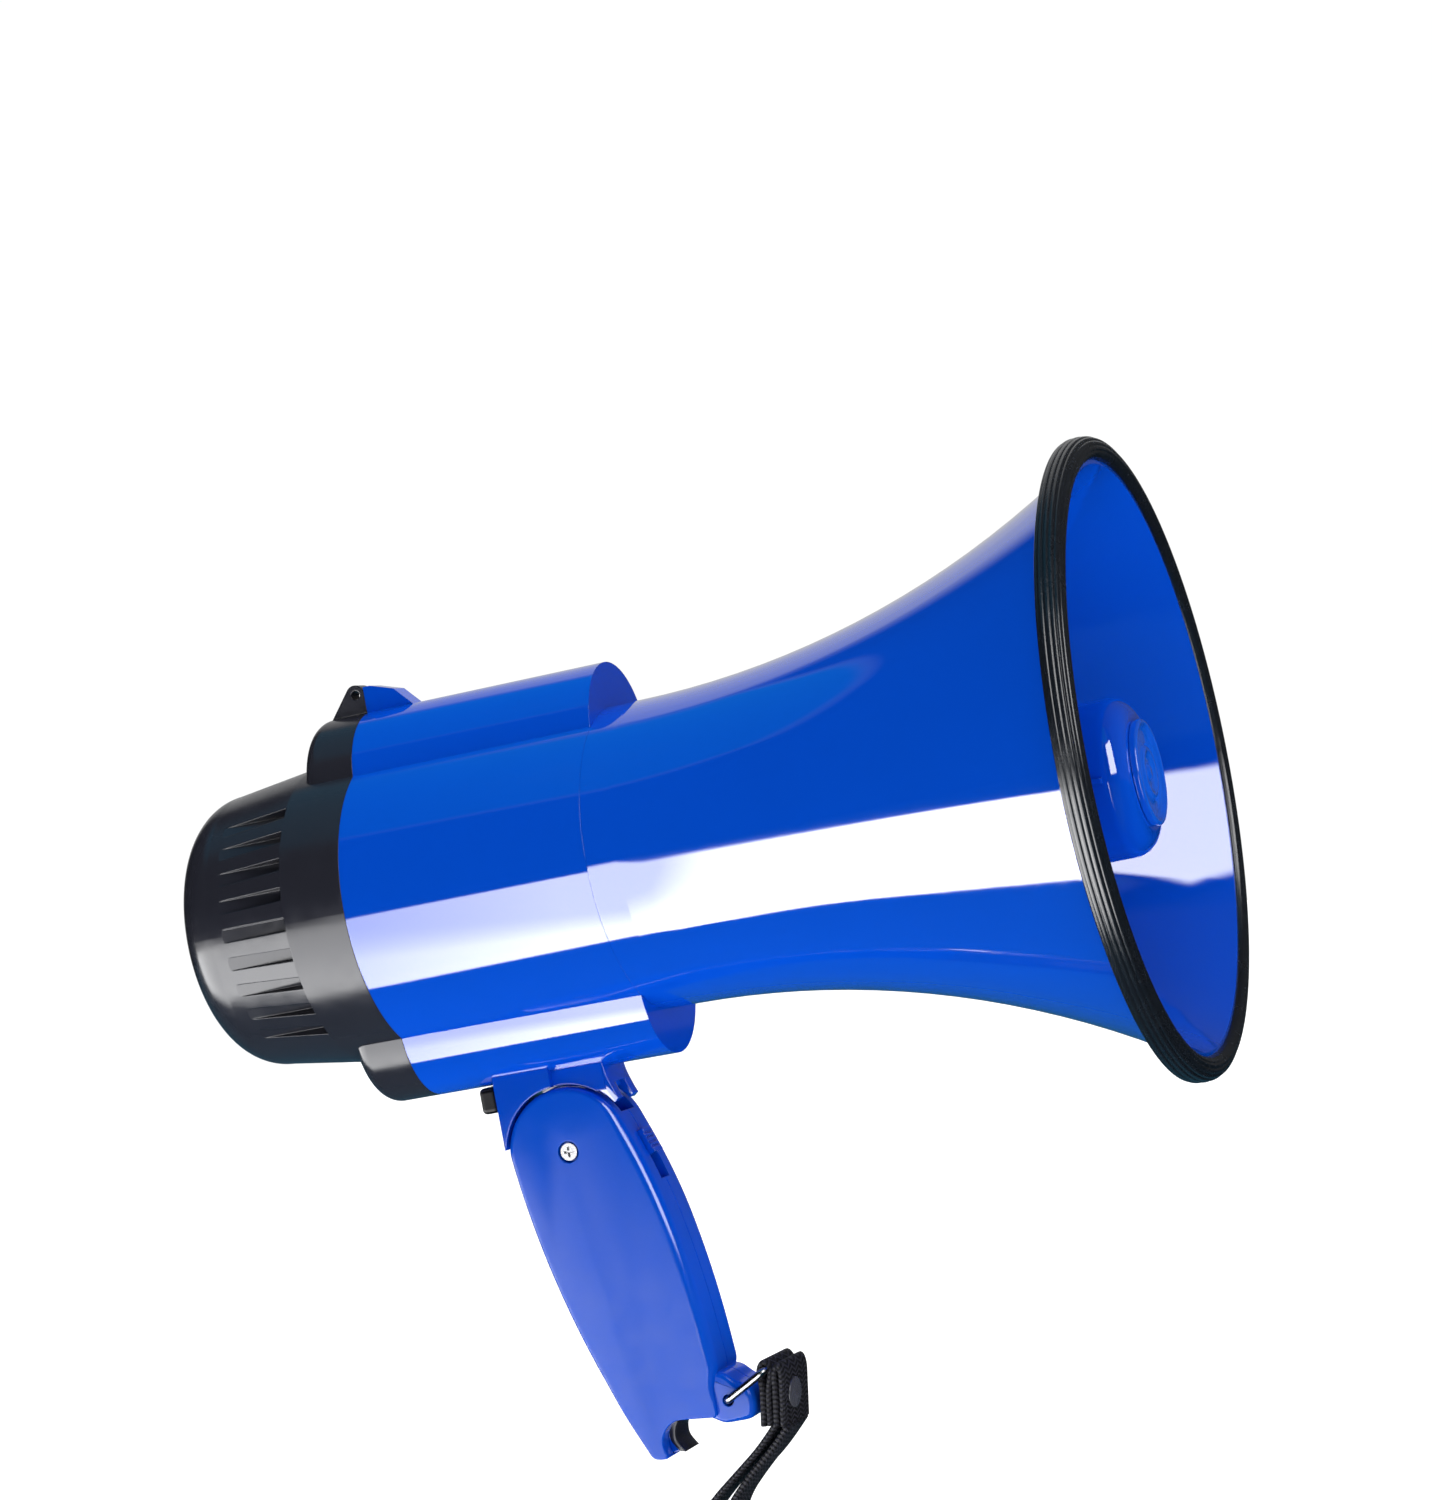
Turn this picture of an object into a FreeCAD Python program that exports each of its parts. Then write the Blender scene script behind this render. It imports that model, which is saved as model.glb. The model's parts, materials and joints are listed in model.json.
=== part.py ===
"""Pistol-grip megaphone for cheerleading: a parametric assembly of separate named pieces.

Frame: +X to the mouth, +Z up, Y across, origin at the middle of the grip. Millimetres.
The horn axis runs along X at the height axis_z. Expressions below use the words of the sheet.
"""
import FreeCAD, Part
import math
import os
import re
import Sketcher

Vector = FreeCAD.Vector
Rotation = FreeCAD.Rotation
TO_AXIS = {"X": Rotation(Vector(0, 1, 0), 90), "Y": Rotation(Vector(1, 0, 0), -90), "Z": Rotation()}

DIMENSIONS = {
    # where the horn axis and the mouth plane lie from the middle of the grip
    "mouth_x": 160, "axis_z": 105, "half": 0.5,
    # horn: straight throat, then one flare arc, then a small flange under the rim guard
    "horn_radius": 39.4, "horn_wall": 2.4, "throat": 130, "seam_front": 138, "flare": 243,
    "lip_front": 2.2, "lip_back": 4.2, "lip_radius": 77.6,
    # rubber rim guard
    "rim_radius": 80, "rim_inner": 73.6, "rim_depth": 7, "rim_round": 1.6,
    # reflector in the mouth
    "drop": 3.5, "cup_radius": 20, "cup_front": 5.3, "cup_back": 38, "cup_wall": 2, "cup_round": 6,
    "disc_radius": 13.3, "disc_front": 3.3, "tube_radius": 13, "tube_bore": 10.5, "tube_front": 22,
    "hub_radius": 15, "vane": 1.8,
    # loudspeaker driver
    "cap_front": 104, "cap_back": 112, "cap_radius": 36.4, "plate": 3, "magnet_radius": 29.5,
    "magnet": 12, "yoke": 6, "pole": 11.6, "coil_inner": 12.1, "coil_outer": 12.8, "gap_radius": 13.3,
    "post_ring": 33.4, "post_radius": 2.9,
    # casing with its two battery lobes
    "seam_back": 205, "body_wall": 2.2, "lobe_radius": 19.7, "lobe_height": 31.2, "lobe_bore": 17.5,
    # rear cover
    "cap_end": 219.8, "band_end": 222, "dome_side": 245, "dome_side_radius": 36.2, "dome_end": 259,
    "dome_corner_radius": 28.2, "corner_round": 12, "dome_round": 130,
    "slot_width": 3.4, "slot_floor": 36.7, "slot_pitch": 11.5,
    "mic_height": 9, "knob_drop": 15, "knob_radius": 9, "knob_seat": 254.5,
    # handle, measured from its pivot
    "pivot_x": -9.6, "pivot_z": 34.4, "grip_round": 16.5, "grip_half": 9.5, "grip_wall": 2.4,
    "front_upper": 150, "front_lower": 260, "back_round": 235, "boss": 4.95, "collar": 7.5,
    "head_recess": 2.8, "screw_head": 2.25, "screw_shank": 1.25, "screw_way": 1.3,
    "nut_flats": 5, "lug_half": 8, "slider_x": 18.2, "slider_z": -1.3, "slider_travel": 6.5,
    # bail, tab and strap, measured from the pivot
    "bail_x": 29.8, "bail_z": -68.5, "bar_x": 41.3, "bar_z": -62.2, "wire": 1, "leg_side": 9.3,
    "webbing_half": 8.2, "webbing": 1.5, "tab_back": 39.7, "tab_front": 46.7, "tab_top": -59.6,
    "tab_bottom": -78,
    # bracket between the lower lobe and the handle
    "seat_round": 17.1, "gusset_back": 17.2, "block_half": 7.5, "block_front": 12.6,
    "tongue_half": 4.5, "neck_half": 6, "button_z": 16.4,
    # AA cells in their carriers
    "cell_radius": 7.25, "cell_length": 50.5, "cell_ring": 8.7, "carrier_front": 149,
    "carrier_disc": 2, "carrier_radius": 17.2,
}

doc = FreeCAD.newDocument("megaphone")
sheet = doc.addObject("Spreadsheet::Sheet", "Sheet")
for row, (word, size) in enumerate(DIMENSIONS.items(), start=1):
    sheet.set(f"A{row}", word)
    sheet.set(f"B{row}", str(size))
    sheet.setAlias(f"B{row}", word)
probe = doc.addObject("Part::Vertex", "Probe")
doc.recompute()

PARTS = []


def bound(expression):
    """The expression with each of the sheet's words written as a cell reference."""
    words = "|".join(sorted(DIMENSIONS, key=len, reverse=True))
    return re.sub(rf"\b({words})\b", r"Sheet.\1", str(expression))


def number(expression):
    """What an expression comes to, read back from the document."""
    probe.setExpression("X", bound(expression))
    probe.recompute()
    return probe.X.Value


def place(piece, at, rotation=Rotation()):
    piece.Placement = FreeCAD.Placement(Vector(), rotation)
    for letter, expression in zip("xyz", at):
        piece.setExpression(f"Placement.Base.{letter}", bound(expression))
    return piece


def bind(piece, **sizes):
    for name, expression in sizes.items():
        piece.setExpression(name, bound(expression))
    return piece


def rod(radius, length, at, along="X"):
    """A cylinder from the point at, along a row axis."""
    piece = bind(doc.addObject("Part::Cylinder", "Rod"), Radius=radius, Height=length)
    return place(piece, at, TO_AXIS[along])


def cone(radius, end_radius, length, at, along="X"):
    piece = doc.addObject("Part::Cone", "Taper")
    return place(bind(piece, Radius1=radius, Radius2=end_radius, Height=length), at, TO_AXIS[along])


def block(size, middle, rotation=Rotation()):
    """A box centred on the point middle."""
    piece = bind(doc.addObject("Part::Box", "Block"), Length=size[0], Width=size[1], Height=size[2])
    corner = rotation.multVec(Vector(*[-number(s) / 2 for s in size]))
    at = [f"({m}) + ({c})" for m, c in zip(middle, corner)]
    if rotation.isSame(Rotation(), 1e-9):
        at = [f"({m}) - ({s}) / 2" for m, s in zip(middle, size)]
    return place(piece, at, rotation)


def join(*pieces):
    piece = doc.addObject("Part::MultiFuse", "Joined")
    piece.Shapes = list(pieces)
    return piece


def cut(base, *tools):
    piece = doc.addObject("Part::Cut", "Trimmed")
    piece.Base = base
    piece.Tool = tools[0] if len(tools) == 1 else join(*tools)
    return piece


def common(*pieces):
    piece = doc.addObject("Part::MultiCommon", "Shared")
    piece.Shapes = list(pieces)
    return piece


def sub_part(piece, label):
    piece.Label = label
    PARTS.append(piece)
    return piece


def behind(distance):
    """X of a point that far behind the mouth plane."""
    return f"mouth_x - ({distance})"


def tube(outer, inner, start, length, height="axis_z", side="0"):
    """A ring about a line parallel to the horn axis, from start to start + length behind the mouth."""
    at = (behind(f"{start} + {length}"), side, height)
    return cut(rod(outer, length, at), rod(inner, length, at))


def disc(radius, start, length, height="axis_z", side="0"):
    return rod(radius, length, (behind(f"{start} + {length}"), side, height))


# Sketches ---------------------------------------------------------------------------------------

def outline(body, plane, start, *steps):
    """A closed sketch on a plane of the body. A step is (x, y) for a line to that point, or
    (x, y, radius, side) for an arc, bulging to the left (1) or the right (-1) of its way."""
    sketch = body.newObject("Sketcher::SketchObject", "Outline")
    planes = {feature.Role: feature for feature in body.Origin.OriginFeatures}
    sketch.AttachmentSupport = [(planes[plane], "")]
    sketch.MapMode = "FlatFace"
    here = Vector(number(start[0]), number(start[1]), 0)
    first = here
    for index, step in enumerate(steps):
        there = Vector(number(step[0]), number(step[1]), 0)
        if index == len(steps) - 1:
            there = first
        if len(step) == 2:
            sketch.addGeometry(Part.LineSegment(here, there), False)
            ends = (1, 2)
        else:
            chord = there - here
            radius = number(step[2])
            rise = radius - math.sqrt(radius ** 2 - chord.Length ** 2 / 4)
            left = Vector(-chord.y, chord.x, 0).normalize()
            middle = (here + there) * 0.5 + left * rise * step[3]
            sketch.addGeometry(Part.Arc(here, middle, there), False)
            ends = (2, 1) if step[3] > 0 else (1, 2)
            bind_constraint(sketch, Sketcher.Constraint("Radius", index, radius), step[2])
        if index < len(steps) - 1:
            for kind, expression, size in (("DistanceX", step[0], there.x), ("DistanceY", step[1], there.y)):
                bind_constraint(sketch, Sketcher.Constraint(kind, -1, 1, index, ends[1], size), expression)
        if index:
            sketch.addConstraint(Sketcher.Constraint("Coincident", index - 1, last_end, index, ends[0]))
        else:
            first_end = ends[0]
        last_end = ends[1]
        here = there
    for kind, expression, size in (("DistanceX", start[0], first.x), ("DistanceY", start[1], first.y)):
        bind_constraint(sketch, Sketcher.Constraint(kind, -1, 1, 0, first_end, size), expression)
    sketch.addConstraint(Sketcher.Constraint("Coincident", len(steps) - 1, last_end, 0, first_end))
    return sketch


def bind_constraint(sketch, constraint, expression):
    position = sketch.addConstraint(constraint)
    sketch.setExpression(f"Constraints[{position}]", bound(expression))


def turned(start, *steps, height="axis_z"):
    """A body turned about the horn axis; its sketch gives (distance behind the mouth, radius)."""
    body = doc.addObject("PartDesign::Body", "Turned")
    sketch = outline(body, "XY_Plane", start, *steps)
    revolution = body.newObject("PartDesign::Revolution", "Revolution")
    revolution.Profile = sketch
    revolution.ReferenceAxis = (sketch, ["H_Axis"])
    revolution.Angle = 360
    return place(body, ("mouth_x", "0", height), Rotation(Vector(0, 0, 1), 180))


def padded(depth, reverse, start, *steps):
    """A body padded from the plane Y = 0 of the handle; its sketch gives (x, z) from the pivot."""
    body = doc.addObject("PartDesign::Body", "Padded")
    sketch = outline(body, "XZ_Plane", start, *steps)
    pad = body.newObject("PartDesign::Pad", "Pad")
    pad.Profile = sketch
    pad.Reversed = reverse
    pad.setExpression("Length", bound(depth))
    return place(body, ("pivot_x", "0", "pivot_z"))


def flare_at(distance, wall="0"):
    """Radius of the horn's flare that far behind the mouth, at that depth into the wall."""
    return (f"horn_radius + flare - sqrt((flare + {wall}) ^ 2 - (throat - ({distance})) ^ 2)")


# Horn ---------------------------------------------------------------------------------------------

def horn_bell():
    bell = turned(
        ("seam_front", "horn_radius"),
        ("throat", "horn_radius"),
        ("lip_back", flare_at("lip_back"), "flare", 1),
        ("lip_back", "lip_radius"),
        ("lip_front", "lip_radius"),
        ("lip_front", flare_at("lip_front", "horn_wall")),
        ("throat", "horn_radius - horn_wall", "flare + horn_wall", -1),
        ("seam_front", "horn_radius - horn_wall"),
        ("seam_front", "horn_radius"))
    sub_part(bell, "horn_bell")


def rim_guard():
    """Rubber channel around the horn's flange, with three grooves round its outside."""
    profile = turned(
        ("0", "rim_inner"),
        ("lip_front", "rim_inner"),
        ("lip_front", "lip_radius"),
        ("lip_back", "lip_radius"),
        ("lip_back", flare_at("lip_back")),
        ("rim_depth", flare_at("rim_depth"), "flare", -1),
        ("rim_depth", "rim_radius - rim_round"),
        ("rim_depth - rim_round", "rim_radius", "rim_round", 1),
        ("rim_round", "rim_radius"),
        ("0", "rim_radius - rim_round", "rim_round", 1),
        ("0", "rim_inner"))
    grooves = []
    for share in (0.35, 0.55, 0.75):
        groove = bind(doc.addObject("Part::Torus", "Groove"), Radius1="rim_radius + 0.1", Radius2="0.45")
        grooves.append(place(groove, (behind(f"rim_depth * {share}"), "0", "axis_z"), TO_AXIS["X"]))
    sub_part(cut(profile, *grooves), "rim_guard")


def reflector():
    """Cup that faces back over the end of the throat tube, on a hub with four vanes."""
    cup = turned(
        ("cup_front", "0"),
        ("cup_front + cup_wall", "0"),
        ("cup_front + cup_wall", "cup_radius - cup_round"),
        ("cup_front + cup_round", "cup_radius - cup_wall", "cup_round - cup_wall", 1),
        ("cup_back", "cup_radius - cup_wall"),
        ("cup_back", "cup_radius"),
        ("cup_front + cup_round", "cup_radius"),
        ("cup_front", "cup_radius - cup_round", "cup_round", -1),
        ("cup_front", "0"),
        height="axis_z - drop")
    hub = tube("hub_radius", "tube_radius", "tube_front", "12", "axis_z - drop")
    vanes = []
    for turn in range(4):
        angle = math.radians(45 + 90 * turn)
        reach = "((hub_radius + cup_radius - cup_wall) / 2)"
        middle = (behind("tube_front + 6"), f"{reach} * {math.sin(angle)}",
                  f"axis_z - drop + {reach} * {math.cos(angle)}")
        size = ("12", "vane", "cup_radius - cup_wall - hub_radius + 0.8")
        vanes.append(block(size, middle, Rotation(Vector(1, 0, 0), -math.degrees(angle))))
    ribs = []
    for side in (-1, 1):
        middle = (behind("(cup_front + cup_round + cup_back) / 2"), f"{side} * (cup_radius + 0.3)",
                  "axis_z - drop")
        ribs.append(block(("cup_back - cup_front - cup_round", "2.6", "1.4"), middle))
    sub_part(join(cup, hub, *vanes, *ribs), "reflector_cup")
    face = turned(
        ("disc_front", "0"),
        ("cup_front", "0"),
        ("cup_front", "disc_radius"),
        ("disc_front + 0.4", "disc_radius"),
        ("disc_front", "disc_radius - 0.4", "0.4", 1),
        ("disc_front", "disc_radius - 1.2"),
        ("disc_front + 0.8", "disc_radius - 1.6"),
        ("disc_front + 0.8", "6.4"),
        ("disc_front + 0.2", "6"),
        ("disc_front + 0.2", "4.8"),
        ("disc_front + 0.8", "4.4"),
        ("disc_front + 0.8", "1.6"),
        ("disc_front", "1.2"),
        ("disc_front", "0"),
        height="axis_z - drop")
    sub_part(face, "reflector_disc")
    sub_part(tube("tube_radius", "tube_bore", "tube_front", "cap_front - tube_front", "axis_z - drop"),
             "throat_tube")


# Loudspeaker driver -------------------------------------------------------------------------------

def around(count, ring, height="axis_z", first=45):
    """(y, z) expressions of points spread evenly round a line parallel to the horn axis."""
    for turn in range(count):
        angle = math.radians(first + 360 * turn / count)
        yield f"({ring}) * {math.sin(angle)}", f"{height} + ({ring}) * {math.cos(angle)}"


def driver():
    depth = "cap_back - cap_front"
    spigot = tube("tube_bore", "tube_bore - 1.6", "cap_front - 5", "6", "axis_z - drop")
    hollow = disc("magnet_radius + 1", "cap_back - 4", "4")
    mouth = disc("tube_bore - 1.6", "cap_front", depth, "axis_z - drop")
    screw_ways = [disc("1.5", "cap_front", depth, z, y) for y, z in around(4, "post_ring")]
    cap = cut(disc("cap_radius", "cap_front", depth), hollow, mouth, *screw_ways)
    sub_part(join(cap, spigot), "driver_cap")
    screw_ways = [disc("1.5", "cap_back", "plate", z, y) for y, z in around(4, "post_ring")]
    gap = disc("gap_radius", "cap_back", "plate")
    sub_part(cut(disc("cap_radius", "cap_back", "plate"), gap, *screw_ways), "driver_plate")
    sub_part(tube("magnet_radius", "gap_radius + 3", "cap_back + plate", "magnet"), "driver_magnet")
    base = disc("magnet_radius - 1", "cap_back + plate + magnet", "yoke")
    sub_part(join(base, disc("pole", "cap_back", "plate + magnet + 1")), "driver_yoke")
    screws = []
    for y, z in around(4, "post_ring"):
        screws.append(disc("2.6", "cap_front - 1.8", "1.8", z, y))
        screws.append(disc("1.5", "cap_front", f"{depth} + plate + 8", z, y))
    sub_part(join(*screws), "driver_screws")
    dome = disc("magnet_radius - 1", "cap_back - 2.4", "1")
    sub_part(dome, "diaphragm")
    sub_part(tube("coil_outer", "coil_inner", "cap_back - 1.4", "plate + 3.5"), "voice_coil")


# Casing -------------------------------------------------------------------------------------------

SCREW_SEAT = "axis_z - lobe_height - lobe_bore - 1.3"
LOBES = {"top": "axis_z + lobe_height", "bottom": "axis_z - lobe_height"}


def body_shell():
    """Round casing with a battery lobe above and below, a bulkhead, four driver posts and two rails
    that hold the amplifier board by its edges."""
    length = "seam_back - seam_front"
    inside = f"{length} - horn_wall"
    outer = [disc("horn_radius", "seam_front", length)]
    outer += [disc("lobe_radius", "seam_front", length, height) for height in LOBES.values()]
    bay = disc("horn_radius - body_wall", "seam_front + horn_wall", inside)
    walls = [disc("lobe_radius", "seam_front", length, height) for height in LOBES.values()]
    bores = [disc("lobe_bore", "seam_front + horn_wall", inside, height) for height in LOBES.values()]
    posts = []
    for y, z in around(4, "post_ring"):
        whole = disc("post_radius", "cap_back + plate", "seam_front - cap_back - plate", z, y)
        way = disc("1.5", "cap_back + plate", "8", z, y)
        posts.append(cut(whole, way))
    rails = []
    for side in (-1, 1):
        rail = block(("44", "10.5", "5"), (behind("175"), f"{side} * 32.2", "axis_z"))
        groove = block(("46", "2", "1.7"), (behind("175"), f"{side} * 27.5", "axis_z"))
        rails.append(cut(rail, groove))
    heads = []
    for x in BRACKET_SCREWS:
        heads.append(rod("2.65", "2", (f"pivot_x + {x}", "0", SCREW_SEAT), "Z"))
        heads.append(rod("1.4", "3", (f"pivot_x + {x}", "0", f"{SCREW_SEAT} - 2"), "Z"))
    shell = cut(join(*outer, wedge_form()), cut(bay, *walls), *bores, *heads)
    sub_part(join(shell, *posts, *rails), "body_shell")


def wedge_form():
    """The stop block on the top lobe, low at its front and high where the cover's lug meets it."""
    body = doc.addObject("PartDesign::Body", "Wedge")
    sketch = outline(
        body, "XZ_Plane",
        ("mouth_x - 191.5", "axis_z + 50.4"),
        ("mouth_x - 196.5", "axis_z + 55.6"),
        ("mouth_x - 203", "axis_z + 57.6"),
        ("mouth_x - seam_back", "axis_z + 57.6"),
        ("mouth_x - seam_back", "axis_z + 48"),
        ("mouth_x - 191.5", "axis_z + 48"),
        ("mouth_x - 191.5", "axis_z + 50.4"))
    pad = body.newObject("PartDesign::Pad", "Pad")
    pad.Profile = sketch
    pad.Midplane = True
    pad.Length = 7
    return body


def batteries():
    for lobe, height in LOBES.items():
        start = "carrier_front"
        back = "carrier_front + carrier_disc + cell_length + 0.6"
        frame = [disc("carrier_radius", start, "carrier_disc", height),
                 disc("carrier_radius", back, "carrier_disc", height),
                 disc("1.2", start, "cell_length + 2 * carrier_disc", height)]
        for y, z in around(3, "15", height, 60):
            frame.append(disc("1.4", start, "cell_length + 2 * carrier_disc", z, y))
        sub_part(join(*frame), f"battery_carrier_{lobe}")
        for index, (y, z) in enumerate(around(3, "cell_ring", height, 0), start=1):
            can = disc("cell_radius", f"{start} + carrier_disc + 1.6", "cell_length - 1.6", z, y)
            nub = disc("2.7", f"{start} + carrier_disc + 0.3", "1.6", z, y)
            sub_part(join(can, nub), f"cell_{lobe}_{index}")
        plate = disc("9", "seam_front + horn_wall", "0.6", height)
        spring = place(bind(doc.addObject("Part::Cone", "Spring"), Radius1="3", Radius2="6",
                            Height="carrier_front - seam_front - horn_wall - 0.6"),
                       (behind("carrier_front"), "0", height), TO_AXIS["X"])
        sub_part(join(plate, spring), f"front_contact_{lobe}")


def amplifier():
    board = block(("44", "56", "1.6"), (behind("175"), "0", "axis_z"))
    holes = []
    for x in (-19, 19):
        for y in (-25, 25):
            at = (behind(f"175 + {x}"), str(y), "axis_z - 1")
            holes.append(rod("1.6", "2", at, "Z"))
    sub_part(cut(board, *holes), "amp_board")
    tall = [rod("4", "8.5", (behind(f"160 + {11 * step}"), "18", "axis_z + 0.8"), "Z") for step in range(3)]
    chips = [block(("12", "9", "2.4"), (behind("178"), "-6", "axis_z + 2")),
             block(("9", "7", "3"), (behind("162"), "-12", "axis_z + 2.3")),
             block(("8", "14", "6"), (behind("192"), "-16", "axis_z + 3.8"))]
    sub_part(join(*tall, *chips), "amp_components")
    base = block(("30", "26", "2"), (behind("175"), "0", "axis_z - 1.8"))
    fins = [block(("30", "1.4", "7"), (behind("175"), f"{6 * step - 12}", "axis_z - 5.6")) for step in range(5)]
    sub_part(join(base, *fins), "heat_sink")


# Rear cover ---------------------------------------------------------------------------------------

DOME_CORNER = "dome_end - dome_round + sqrt(dome_round ^ 2 - dome_corner_radius ^ 2)"


def rear_cover():
    outer = turned(
        ("seam_back", "0"),
        ("seam_back", "horn_radius"),
        ("band_end", "horn_radius"),
        ("dome_side", "dome_side_radius"),
        (DOME_CORNER, "dome_corner_radius", "corner_round", 1),
        ("dome_end", "0", "dome_round", 1),
        ("seam_back", "0"))
    inner = turned(
        ("seam_back", "0"),
        ("seam_back", "horn_radius - body_wall"),
        ("cap_end", "horn_radius - body_wall"),
        ("cap_end", "34.2"),
        ("dome_side - 4", "34"),
        (f"{DOME_CORNER} - 4", "dome_corner_radius - 2"),
        ("dome_end - 2.6", "0"),
        ("seam_back", "0"))
    lobes = []
    bores = []
    for height in LOBES.values():
        whole = disc("lobe_radius", "seam_back", "cap_end - seam_back", height)
        rounded = doc.addObject("Part::Fillet", "Rounded")
        rounded.Base = whole
        doc.recompute()
        rear = [index for index, edge in enumerate(whole.Shape.Edges, start=1)
                if edge.BoundBox.XLength < 1e-6 and edge.BoundBox.XMin < number(behind("cap_end")) + 0.1]
        rounded.Edges = [(index, 4, 4) for index in rear]
        lobes.append(rounded)
        bores.append(disc("lobe_bore", "seam_back", "cap_end - seam_back - body_wall", height))
    slots = []
    for side in (0, 180):
        for step in range(-4, 5):
            angle = side + 90 + step * DIMENSIONS["slot_pitch"]
            turn = math.radians(angle)
            reach = "(slot_floor + 4)"
            middle = (behind("band_end + 15"), f"{reach} * {math.sin(turn)}",
                      f"axis_z + {reach} * {math.cos(turn)}")
            slots.append(block(("30", "slot_width", "8"), middle, Rotation(Vector(1, 0, 0), -angle)))
    seat = disc("knob_radius + 0.5", "knob_seat", "10", "axis_z - knob_drop")
    floor = disc("knob_radius + 2.5", "knob_seat - 2.5", "2.5", "axis_z - knob_drop")
    well = tube("knob_radius + 2.5", "knob_radius + 0.5", "knob_seat", "3.2", "axis_z - knob_drop")
    shaft_way = disc("3.05", "knob_seat - 3", "4", "axis_z - knob_drop")
    pocket = tube("8.6", "7", "246.5", "9", "axis_z + mic_height")
    holes = [disc("0.9", "250", "12", "axis_z + mic_height")]
    holes += [disc("0.9", "250", "12", z, y) for y, z in around(6, "3.4", "axis_z + mic_height", 0)]
    pegs = [block(("10", "3.2", "9"), (behind("seam_back"), f"{side} * 34.9", "axis_z")) for side in (-1, 1)]
    webs = [block(("10", "3.2", "9"), (behind("seam_back + 8"), f"{side} * 36", "axis_z")) for side in (-1, 1)]
    shell = cut(join(outer, *lobes), inner, *bores, *slots)
    fittings = common(join(floor, well, pocket), outer)
    whole = cut(join(shell, fittings, *pegs, *webs), seat, shaft_way, *holes)
    sub_part(whole, "rear_cover")
    sub_part(strap_lug(), "strap_lug")
    capsule = disc("5", "247.6", "5.6", "axis_z + mic_height")
    sub_part(capsule, "microphone")
    sub_part(tube("7", "5", "247.6", "5.6", "axis_z + mic_height"), "mic_grommet")
    pot = block(("8", "14", "14"), (behind("knob_seat - 6.5"), "0", "axis_z - knob_drop"))
    way = disc("3.05", "knob_seat - 9", "8", "axis_z - knob_drop")
    sub_part(cut(pot, way), "volume_pot")
    cap = disc("knob_radius", "knob_seat + 0.1", "3.8", "axis_z - knob_drop")
    stem = disc("3", "knob_seat - 8.5", "9", "axis_z - knob_drop")
    flutes = [disc("0.8", "knob_seat", "6", z, y)
              for y, z in around(24, "knob_radius + 0.3", "axis_z - knob_drop", 0)]
    sub_part(cut(join(cap, stem), *flutes), "volume_knob")
    for lobe, height in LOBES.items():
        sub_part(disc("15", "cap_end - body_wall - 0.6", "0.6", height), f"rear_contact_{lobe}")


def strap_lug():
    """Triangular eye on the top lobe's cap, with its hole across the part."""
    body = doc.addObject("PartDesign::Body", "Lug")
    sketch = outline(
        body, "XZ_Plane",
        ("mouth_x - seam_back - 0.3", "axis_z + 48"),
        ("mouth_x - seam_back - 0.3", "axis_z + 56"),
        ("mouth_x - seam_back - 4.9", "axis_z + 57.8", "2.7", -1),
        ("mouth_x - seam_back - 11", "axis_z + 50.4"),
        ("mouth_x - seam_back - 11", "axis_z + 48"),
        ("mouth_x - seam_back - 0.3", "axis_z + 48"))
    pad = body.newObject("PartDesign::Pad", "Pad")
    pad.Profile = sketch
    pad.Midplane = True
    pad.Length = 5
    eye = rod("1.25", "8", (behind("seam_back + 2.9"), "-4", "axis_z + 55.9"), "Y")
    crown = disc("lobe_radius", "seam_back", "cap_end - seam_back", LOBES["top"])
    return cut(body, eye, crown)


# Bracket ------------------------------------------------------------------------------------------

BRACKET_SCREWS = (-3.4, 3.4)


def from_pivot(x, side, z):
    return f"pivot_x + ({x})", str(side), f"pivot_z + ({z})"


def cross_rod(radius, x, z, start, end):
    """A cylinder across the handle from Y = start to Y = end, placed from the pivot."""
    return rod(radius, f"({end}) - ({start})", from_pivot(x, start, z), "Y")


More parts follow.
